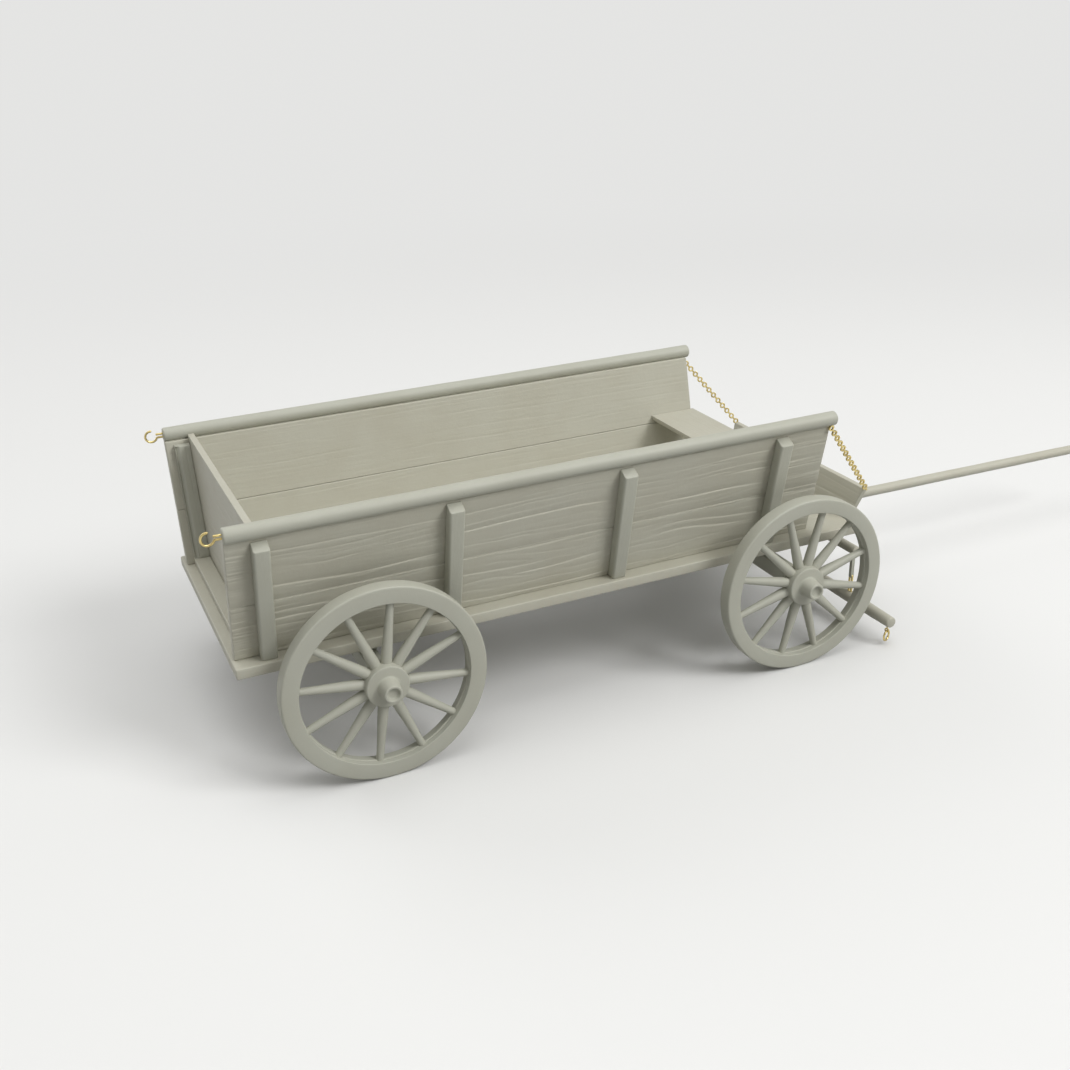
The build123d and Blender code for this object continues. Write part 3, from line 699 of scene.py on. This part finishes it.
class WAGON_OT_finishes(bpy.types.Operator):
    """Make the resin and brass materials"""
    bl_idname = "wagon.finishes"
    bl_label = "Finishes"

    def execute(self, context):
        look = context.scene.wagon_finish
        casting, fibres = casting_group(), fibre_group()
        boards, castings = (look.board_tone, look.board_shade), (look.casting_tone, look.casting_shade)
        for name, tones, run in (("casting", castings, None), ("boards_long", boards, LONG),
                                 ("boards_across", boards, CROSS), ("boards_upright", castings, TALL)):
            resin_material("resin_" + name, look.resin_gloss, tones, casting, fibres, run)
        brass_material(look)
        return {"FINISHED"}


def side_lines():
    """Lean of the sides and thickness of the planks, from the two planks of one side."""
    low, high = (node_box(part + "_plank_left") for part in ("lower", "upper"))
    tall = [one[1][2] - one[0][2] for one in (low, high)]
    across = [one[1][1] - one[0][1] for one in (low, high)]
    lean = (across[1] - across[0]) / (tall[1] - tall[0])
    return lean, across[0] - lean * tall[0]


def inner_face(z):
    """Distance of the sides' inner faces from the middle at a height."""
    low = node_box("lower_plank_left")[0]
    return low[1] + side_lines()[0] * (z - low[2])


def spread(reach):
    """Half vectors across the wagon for half widths."""
    return np.stack([0 * reach, reach, 0 * reach], axis=1)


class WAGON_OT_side_planks(bpy.types.Operator):
    """Make the four planks of the sides, with engraved grain"""
    bl_idname = "wagon.side_planks"
    bl_label = "Side planks"

    def execute(self, context):
        cut = sizes(context.scene.wagon_grain)
        lean, thick = side_lines()
        for count, (part, (side, way)) in enumerate((p, s) for p in ("lower", "upper") for s in SIDES):
            node = part + "_plank_" + side
            low, high = node_box(node)
            full = high[2] - low[2]
            seed = 40 + 17 * count
            faint = relief(int(full * 0.8), cut.inner, cut.ledge * 0.6, cut.back * 0.4, 0.5, seed + 13)

            def inner(u, v, full=full, faint=faint, seed=seed):
                return faint(u, v + full / 2) + fibre(u, v + full / 2, cut.fibre * 0.8, seed + 1)

            outer = self.outer(cut, full, low[0], part == "upper", seed)
            tall = full - cut.seam / 2
            y = way * abs(low[1] + high[1]) / 2
            z = (low[2] + high[2]) / 2 + cut.seam / 4 * (1 if part == "upper" else -1)
            shell = board((low[0], y, z), (high[0], y, z), (0.0, way * lean * tall / 2, tall / 2),
                          (0.0, way * thick / 2, 0.0), cut.ease, step=0.6, columns=int(tall / PLANK_ROW),
                          front=outer, back=inner)
            cast(node, "wagon_body", shell, "resin_boards_long")
        return {"FINISHED"}

    def outer(self, cut, full, start, upper, seed):
        """Relief of an outer face: long lines, thin ones between them and short ones past the end posts."""
        first, last = (node_box("side_post_right_%d" % n)[m][0] - start for n, m in ((1, 1), (4, 0)))
        soft = 0.6

        def face(u, v):
            v = v + full / 2
            main = grain(u, v, int(full * 0.5), cut.deep, cut.ledge, cut.back, cut.flow, seed)
            if upper:
                main = np.maximum(main, cut.step * np.clip(1 - v / cut.back, 0, 1) ** 2)
            thin = grain(u * 1.8, v, int(full), cut.deep * 0.42, cut.ledge * 0.7, cut.back * 0.4, cut.flow,
                         seed)
            ends = np.clip((first - u) / soft, 0, 1) + np.clip((u - last) / soft, 0, 1)
            short = grain(u, v, int(full * 1.9), cut.deep * 0.6, cut.ledge * 0.8, cut.back * 0.3, 0.25,
                          seed + 9)
            return np.maximum(np.maximum(main, thin), short * ends) + fibre(u, v, cut.fibre, seed)
        return face


class WAGON_OT_boards(bpy.types.Operator):
    """Make the floor, tailboard, cleats, sill, seat and toe board"""
    bl_idname = "wagon.boards"
    bl_label = "Floor and boards"

    def execute(self, context):
        cut = sizes(context.scene.wagon_grain)
        for make in (self.floor, self.tail, self.cleats, self.sill_and_seat, self.toe):
            make(cut)
        return {"FINISHED"}

    def floor(self, cut):
        """The floor plate, with its boards engraved in front of the tailboard."""
        low, high = node_box("floor_plate")
        wide = (high[1] - low[1]) / cut.floor_boards
        tail = node_box("tailboard")[1][0] - low[0]
        gap = 0.26
        wood = relief(48, cut.inner, cut.ledge, 0.5, 0.5, 301, cut.fibre)

        def top(u, v):
            place = (v + (high[1] - low[1]) / 2) / wide
            joint = np.abs(place - np.round(place)) * wide
            inside = (place > 0.5) & (place < cut.floor_boards - 0.5) & (u > tail)
            return cut.floor_seam * np.clip(1.0 - joint / gap, 0, 1) * inside + wood(u, v)

        shell = flat_board("floor_plate", LONG, CROSS, cut.ease * 1.6, step=1.2, columns=240, front=top,
                           back=lambda u, v: fibre(u, v, cut.fibre, 303))
        cast("floor_plate", "wagon_body", shell, "resin_boards_long")

    def tail(self, cut):
        """The tailboard between the sides."""
        low, high = node_box("tailboard")
        x, tall = (low[0] + high[0]) / 2, high[2] - low[2]
        faces = [relief(18, cut.deep * 0.5, cut.ledge * 0.8, 0.9, 0.6, seed, cut.fibre, upright=True)
                 for seed in (320, 330)]

        def half(share):
            return spread(np.array([inner_face(z) for z in low[2] + share[:, 0] * tall]))

        shell = board((x, 0.0, low[2]), (x, 0.0, high[2]), half, ((low[0] - high[0]) / 2, 0.0, 0.0),
                      cut.ease, step=0.16, columns=90, front=faces[0], back=faces[1])
        cast("tailboard", "wagon_body", shell, "resin_boards_across")

    def cleats(self, cut):
        """The upright cleats that hold the tailboard."""
        lean = side_lines()[0]
        wood = relief(7, cut.deep * 0.4, cut.ledge * 0.7, 0.4, 0.2, 341)
        bevel = 0.75
        for side, way in SIDES:
            node = "tail_cleat_" + side
            low, high = node_box(node)
            thick = high[1] - low[1] - lean * (high[2] - low[2])
            x, half = (low[0] + high[0]) / 2, (high[0] - low[0]) / 2
            foot, head = ((x, way * (inner_face(z) - thick / 2), z) for z in (low[2], high[2]))

            def worn(u, v, half=half):
                return cut.worn * np.clip((bevel - half - v) / bevel, 0, 1) + wood(u, v)

            shell = board(foot, head, (half, 0.0, 0.0), (0.0, way * thick / 2, 0.0), cut.ease, step=0.6,
                          columns=24, back=worn)
            cast(node, "wagon_body", shell, "resin_boards_upright")

    def sill_and_seat(self, cut):
        """The sill under the cleats, and the seat board."""
        for node, columns, wood in (
                ("tail_sill", 24, relief(6, cut.inner, cut.ledge * 0.7, 0.5, 0.3, 347)),
                ("seat_board", 60, relief(14, cut.inner, cut.ledge * 0.8, 0.5, 0.4, 351, cut.fibre))):
            shell = flat_board(node, CROSS, LONG, cut.ease, step=0.8, columns=columns, front=wood)
            cast(node, "wagon_body", shell, "resin_boards_across")

    def toe(self, cut):
        """The leaning toe board, flared like the sides."""
        low, high = node_box("toe_board")
        thick = 1.1
        edge, plank = side_lines()
        faces = [relief(8, cut.deep * 0.45, cut.ledge * 0.8, 0.7, 0.5, seed, cut.fibre, upright=True)
                 for seed in (361, 371)]

        def half(share):
            return spread(inner_face(low[2]) + plank + edge * share[:, 0] * (high[2] - low[2]))

        shell = board((low[0] + thick / 2, 0.0, low[2]), (high[0] - thick / 2, 0.0, high[2]), half,
                      (thick / 2, 0.0, 0.0), cut.ease, step=0.13, columns=90, front=faces[0], back=faces[1])
        cast("toe_board", "wagon_body", shell, "resin_boards_across")


class WAGON_OT_posts(bpy.types.Operator):
    """Make the posts of the sides, one row a side"""
    bl_idname = "wagon.posts"
    bl_label = "Side posts"

    def execute(self, context):
        tree = row_tree()
        for side, _ in SIDES:
            nodes = ["side_post_%s_%d" % (side, n) for n in (1, 2, 3, 4)]
            step = (node_box(nodes[-1])[0] - node_box(nodes[0])[0]) / (len(nodes) - 1)
            shell = eased_copy(nodes[0], ease=0.16)
            piece = cut_piece("cast_posts_" + side, [shell], "resin_boards_upright", SHARP_CASTING)
            grow(piece, tree, Count=len(nodes), Step=tuple(step * MM))
            settle(piece, "wagon_body", "resin", *nodes)
        return {"FINISHED"}


def rail_line(side):
    """Rear end, front end, middle across and up, and radius of a top rail."""
    low, high = node_box("top_rail_" + side)
    radius = (high[1] - low[1]) / 2
    return low[0], high[0], (low[1] + high[1]) / 2, high[2] - radius, radius


class WAGON_OT_rails(bpy.types.Operator):
    """Make the round top rails"""
    bl_idname = "wagon.rails"
    bl_label = "Top rails"

    def execute(self, context):
        for count, (side, _) in enumerate(SIDES):
            rear, front, y, z, radius = rail_line(side)
            shell = bar((rear, y, z), (front, y, z), lambda share: radius, ease=0.32, step=1.0, sides=48,
                        wobble=0.05, seed=90 + count)
            cast("top_rail_" + side, "wagon_body", shell)
        return {"FINISHED"}


class WAGON_OT_wheels(bpy.types.Operator):
    """Make the four wheels"""
    bl_idname = "wagon.wheels"
    bl_label = "Wheels"

    def execute(self, context):
        make = sizes(context.scene.wagon_wheelwork)
        tree, tenon = spoke_tree(), 0.4
        for count, (end, (side, way)) in enumerate((e, s) for e in ("rear", "front") for s in SIDES):
            node = "%s_wheel_%s" % (end, side)
            low, high = node_box(node)
            radius = (high[2] - low[2]) / 2
            deep, first = ((make.rear_deep, make.rear_angle) if end == "rear"
                           else (make.front_deep, make.front_angle))
            out = high[1] if way > 0 else low[1]
            centre = np.array([(low[0] + high[0]) / 2, out - way * make.nose_out, (low[2] + high[2]) / 2])
            rim = turned(self.rim(radius, deep, make.rim_wide), centre, (0, way, 0), (1, 0, 0), 128, 0.06,
                         600 + count)
            hub = turned(self.hub(make), centre, (0, way, 0), (1, 0, 0), 64)
            piece = cut_piece("cast_" + node, [rim, hub], "resin_casting", SHARP_CASTING)
            grow(piece, tree, Spokes=make.spokes, First_angle=way * first, Centre=tuple(centre * MM),
                 Inner_end=(make.nose - tenon) * MM, Outer_end=(radius - deep + tenon) * MM,
                 Root=make.root * MM, Tip=make.tip * MM)
            settle(piece, node, "resin", node)
        return {"FINISHED"}

    def rim(self, radius, deep, wide):
        """Outline of the rim: rounded tread edges and a parting ridge on the inner face."""
        ridge, foot, top = 0.14, 0.28, 0.22
        inner, half = radius - deep, wide / 2
        floor = inner + ridge
        return rounded([
            (floor, half, 0.14), (radius, half, 0.38), (radius, -half, 0.38), (floor, -half, 0.14),
            (floor, -foot, 0.03), (inner, -top, 0.03), (inner, top, 0.03), (floor, foot, 0.03)])

    def hub(self, make):
        """Outline of the hub: collar, flange, nose and the hollow in its end, round the axle's bore."""
        bore, bore_end, collar, back, shoulder, slope = 1.05, 2.0, 2.4, -2.6, -1.5, -0.9
        mouth, dish, tip = 1.12, 0.9, make.nose_out
        return rounded([
            (bore, back, 0.1), (collar, back, 0.15), (collar, shoulder, 0.1),
            (make.hub - 0.35, shoulder, 0.1), (make.hub, slope, 0.2), (make.hub, make.flange, 0.26),
            (make.nose, make.flange, 0.3), (make.nose_tip, tip, 0.18), (mouth, tip, 0.12),
            (dish, tip - 0.6, 0.2), (0.0, tip - 0.7, 0.0), (0.0, bore_end, 0.0), (bore, bore_end, 0.05)])


class WAGON_OT_running_gear(bpy.types.Operator):
    """Make the axles, bolsters, turntable, hounds and king pin"""
    bl_idname = "wagon.running_gear"
    bl_label = "Running gear"

    def execute(self, context):
        for body, nodes in (
                ("wagon_body", ("rear_axle", "rear_bolster", "reach_pole", "front_bolster", "king_pin")),
                ("fore_carriage", ("front_axle", "turntable", "hound_right", "hound_left"))):
            for node in nodes:
                cast(node, body, eased_copy(node, ease=0.14), sharp=SHARP_CASTING)
        return {"FINISHED"}


class WAGON_OT_draught_gear(bpy.types.Operator):
    """Make the pole, splinter bar, swingletrees and their straps"""
    bl_idname = "wagon.draught_gear"
    bl_label = "Draught gear"

    def execute(self, context):
        low, high = node_box("draught_pole")
        butt, tip = 1.1, 1.0
        shell = bar((low[0], 0.0, high[2] - butt), (high[0], 0.0, low[2] + tip),
                    lambda share: butt + (tip - butt) * share, ease=0.3, step=1.2, wobble=0.05, seed=71)
        cast("draught_pole", "fore_carriage", shell, "resin_boards_long")
        cast("splinter_bar", "fore_carriage", cross_bar("splinter_bar", ease=0.25, wobble=0.05, seed=72),
             "resin_boards_across")
        for count, (side, _) in enumerate(SIDES):
            tree, strap = "swingletree_" + side, "hanger_strap_" + side
            shell = cross_bar(tree, ease=0.3, taper=0.1, step=0.8, wobble=0.07, seed=73 + count)
            cast(tree, "fore_carriage", shell, "resin_boards_across")
            cast(strap, "fore_carriage", eased_copy(strap, ease=0.1), sharp=SHARP_CASTING)
        return {"FINISHED"}


# Ends of the left chain, from the rail's front end and from the toe board's top corner
CHAIN_HEAD = (-1.4, 0.7, -1.0)
CHAIN_FOOT = (-0.35, -0.2, -0.3)
NECK_HALF = 0.16
NECK_SHARE = 0.9


class WAGON_OT_stay_chains(bpy.types.Operator):
    """Make the flat etched stay chains"""
    bl_idname = "wagon.stay_chains"
    bl_label = "Stay chains"

    def execute(self, context):
        make = sizes(context.scene.wagon_brasswork)
        tree, half = row_tree(), make.flat / 2
        outline = rounded([(make.hole, -half, 0.07), (make.ring, -half, 0.07), (make.ring, half, 0.07),
                           (make.hole, half, 0.07)], turns=2)
        lap = make.ring - 0.12
        for side, way in SIDES:
            node = "stay_chain_" + side
            _, front, y, z, _ = rail_line(side)
            mirror = np.array([1, way, 1])
            head = np.array([front, y, z]) + mirror * CHAIN_HEAD
            foot = mirror * (node_box("toe_board")[1] + CHAIN_FOOT)
            pitch = float(np.linalg.norm(foot - head)) / make.links
            along = unit(foot - head)
            across = unit(np.cross((0.0, 1.0, 0.0), along))
            normal = np.cross(along, across)
            start = head + along * pitch / 2
            ring = turned(outline, start, normal, along, 28)
            neck = board(start + along * lap, start + along * (pitch - lap), across * NECK_HALF,
                         normal * half * NECK_SHARE, ease=0.05, step=0.3)
            piece = cut_piece("brass_" + node, [ring, neck], "brass_fittings", SHARP_CASTING)
            grow(piece, tree, Count=make.links, Step=tuple(along * pitch * MM))
            settle(piece, "wagon_body", "brass", node)
        return {"FINISHED"}


class WAGON_OT_hooks(bpy.types.Operator):
    """Make the bent wire hooks in the rear ends of the rails"""
    bl_idname = "wagon.hooks"
    bl_label = "Rear hooks"

    def execute(self, context):
        make = sizes(context.scene.wagon_brasswork)
        leg, buried, tip = 0.3, 1.4, math.radians(280)
        bend = make.hook_eye
        for side, _ in SIDES:
            node = "rear_hook_" + side
            rear, _, y, z, _ = rail_line(side)
            eye = node_box(node)[0][0] + bend + make.hook_wire
            path = [(eye + bend * 0.8, z + leg), (eye + bend * 1.6, z + leg)]
            path += [(rear + buried + leg * math.sin(t), z + leg * math.cos(t))
                     for t in np.linspace(0, math.pi, 9)]
            path += [(eye + bend * 1.5, z - leg)]
            path += [(eye + bend * math.cos(t), z - bend * math.sin(t))
                     for t in np.linspace(math.asin(leg / bend), tip, 30)]
            brass(node, "wagon_body", wire([(x, y, h) for x, h in path], make.hook_wire, (0.0, 1.0, 0.0)))
        return {"FINISHED"}


class WAGON_OT_trace_rings(bpy.types.Operator):
    """Make the hanger links and the trace rings with their eyes"""
    bl_idname = "wagon.trace_rings"
    bl_label = "Links and trace rings"

    def execute(self, context):
        make = sizes(context.scene.wagon_brasswork)
        angles = full_turn(36)
        for side, way in SIDES:
            node = "hanger_link_" + side
            low, high = node_box(node)
            x, y, z = (low + high) / 2
            bend = (high[1] - low[1]) / 2 - make.link_wire
            rise = (high[2] - low[2]) / 2 - make.link_wire - bend
            heights = [z + bend * math.sin(t) + math.copysign(rise, math.sin(t + 1e-6)) for t in angles]
            path = [(x, y + bend * math.cos(t), height) for t, height in zip(angles, heights)]
            brass(node, "fore_carriage", wire(path, make.link_wire, (1.0, 0.0, 0.0), joined=True))
            low, high = node_box("swingletree_" + side)
            for place in ("inner", "outer"):
                self.ring(make, "trace_ring_%s_%s" % (side, place), angles, way, (low[2] + high[2]) / 2)
        return {"FINISHED"}

    def ring(self, make, node, angles, way, tree_z):
        """One ring hanging in a small wire eye under the swingletree."""
        low, high = node_box(node)
        x, y, _ = (low + high) / 2
        up = np.array([0.0, 0.0, 1.0])
        across = np.array([math.cos(make.trace_turn), -way * math.sin(make.trace_turn), 0.0])
        side = np.cross(across, up)
        bend = make.trace_ring - make.trace_wire
        eye, thin, slack, lap = 0.36, 0.13, 0.16, 0.02
        centre = np.array([x, y, low[2] + make.trace_ring])
        hang = centre + up * (bend + slack)
        loop = [centre + bend * (across * math.cos(t) + up * math.sin(t)) for t in angles]
        small = [hang + eye * (side * math.cos(t) + up * math.sin(t)) for t in angles[::2]]
        brass(node, "fore_carriage", wire(loop, make.trace_wire, side, joined=True),
              wire(small, thin, across, 10, joined=True),
              bar(hang + up * (eye - lap), (x, y, tree_z), lambda share: thin, ease=0.03, sides=10))


class WAGON_OT_stage(bpy.types.Operator):
    """Make the pale floor and backdrop, the soft lights and the camera"""
    bl_idname = "wagon.stage"
    bl_label = "Floor, light and camera"

    def execute(self, context):
        scene, make = context.scene, context.scene.wagon_stage
        scene.view_settings.view_transform = "Standard"
        self.floor(make)
        self.lamp("key_light", make.key, 0.45, Vector((0.45, -0.66, 0.70)))
        self.lamp("top_light", make.top, 1.1, Vector((-0.12, -0.10, 1.3)))
        self.lamp("fill_light", make.fill, 0.7, Vector((-0.50, 0.75, 0.55)))
        world = bpy.data.worlds.new("studio")
        world.use_nodes = True
        feed(world.node_tree, world.node_tree.nodes["Background"].inputs,
             [("Color", (1.0, 1.0, 0.98, 1.0)), ("Strength", make.sky)])
        scene.world = world
        self.camera(make)
        return {"FINISHED"}

    def floor(self, make):
        """A round floor that sweeps up into a backdrop."""
        flat, sweep = 900.0, 500.0
        rise = np.linspace(0, math.pi / 2, 17)[1:]
        outline = [(0.0, 0.0), (flat, 0.0)]
        outline += [(flat + sweep * math.sin(t), sweep * (1 - math.cos(t))) for t in rise]
        rings = [[(r * math.cos(a), r * math.sin(a), z) for a in full_turn(72)] for r, z in outline]
        points, faces = skin(rings)
        self.floor_material(make)
        cut_piece("studio_floor", [(points, faces[:-2])], "pale_floor", SHARP_WIRE)

    def floor_material(self, make):
        """Pale matt floor; far from the wagon it shows its own even tone, and it throws less light back."""
        tree, shader, place = new_material("pale_floor")
        rays = add_node(tree, "LightPath").outputs
        seen = rays["Is Camera Ray"]
        for ray in ("Is Glossy Ray", "Is Transmission Ray"):
            seen = maths(tree, "MAXIMUM", seen, rays[ray])
        tone = blend(tree, seen, make.floor_thrown, make.floor_tone)
        feed(tree, shader, [("Roughness", 0.85), ("Specular IOR Level", 0.15), ("Base Color", tone)])
        away = add_node(tree, "VectorMath", [(0, place)], operation="LENGTH").outputs["Value"]
        share = maths(tree, "MULTIPLY", ramp(tree, away, 0.15, 0.5, interpolation_type="SMOOTHSTEP"), seen)
        even = add_node(tree, "Emission", [("Color", make.floor_tone), ("Strength", 1.0)])
        mixed = add_node(tree, "MixShader", enumerate((share, tree.nodes["Principled BSDF"], even)))
        feed(tree, tree.nodes["Material Output"].inputs, [("Surface", mixed)])

    def lamp(self, name, watts, size, place):
        """A soft square lamp that faces the wagon from a place beside its middle."""
        light = bpy.data.lights.new(name, "AREA")
        light.energy, light.size = watts, size
        lamp = put(name, light)
        lamp.location = Vector(((CAD_BOX[0][0] + CAD_BOX[1][0]) / 2, 0.0, 0.02)) + place
        lamp.rotation_euler = (-place).to_track_quat("-Z", "Y").to_euler()

    def camera(self, make):
        """The photograph's viewpoint."""
        place = (-0.12732, -0.196435, 0.119243)
        right = Vector((0.90761696, -0.41889442, -0.02754851))
        up = Vector((0.19387663, 0.36005726, 0.91256267))
        data = bpy.data.cameras.new("photo_camera")
        data.lens, data.sensor_width = make.lens, 36.0
        data.clip_start, data.clip_end = 0.01, 20.0
        camera = put("photo_camera", data)
        facing = Matrix((right, up, right.cross(up))).transposed().to_4x4()
        camera.matrix_world = Matrix.Translation(place) @ facing
        bpy.context.scene.camera = camera


class WAGON_PT_panel(bpy.types.Panel):
    """The wagon's values and steps"""
    bl_idname = "WAGON_PT_panel"
    bl_label = "Farm wagon"
    bl_space_type = "VIEW_3D"
    bl_region_type = "UI"
    bl_category = "Wagon"

    def draw(self, context):
        for name in GROUPS:
            box = self.layout.box()
            values = getattr(context.scene, name)
            for key in values.__annotations__:
                box.prop(values, key)
        for step in STEPS:
            self.layout.operator(step.bl_idname)


GROUPS = {
    "wagon_finish": WagonFinish,
    "wagon_grain": WagonGrain,
    "wagon_wheelwork": WagonWheelwork,
    "wagon_brasswork": WagonBrasswork,
    "wagon_stage": WagonStage,
}
STEPS = (
    WAGON_OT_finishes, WAGON_OT_side_planks, WAGON_OT_boards, WAGON_OT_posts, WAGON_OT_rails, WAGON_OT_wheels,
    WAGON_OT_running_gear, WAGON_OT_draught_gear, WAGON_OT_stay_chains, WAGON_OT_hooks, WAGON_OT_trace_rings,
    WAGON_OT_stage,
)


def register():
    """Registers the classes and hangs the values on the scene."""
    for one in (*GROUPS.values(), *STEPS, WAGON_PT_panel):
        bpy.utils.register_class(one)
    for name, kind in GROUPS.items():
        setattr(bpy.types.Scene, name, PointerProperty(type=kind))


def unregister():
    """Takes the values and the classes away again."""
    for name in GROUPS:
        delattr(bpy.types.Scene, name)
    for one in reversed((*GROUPS.values(), *STEPS, WAGON_PT_panel)):
        bpy.utils.unregister_class(one)


def main():
    """Makes every piece and the stage."""
    register()
    for step in STEPS:
        family, name = step.bl_idname.split(".")
        getattr(getattr(bpy.ops, family), name)()
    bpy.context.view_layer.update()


if __name__ == "__main__":
    main()
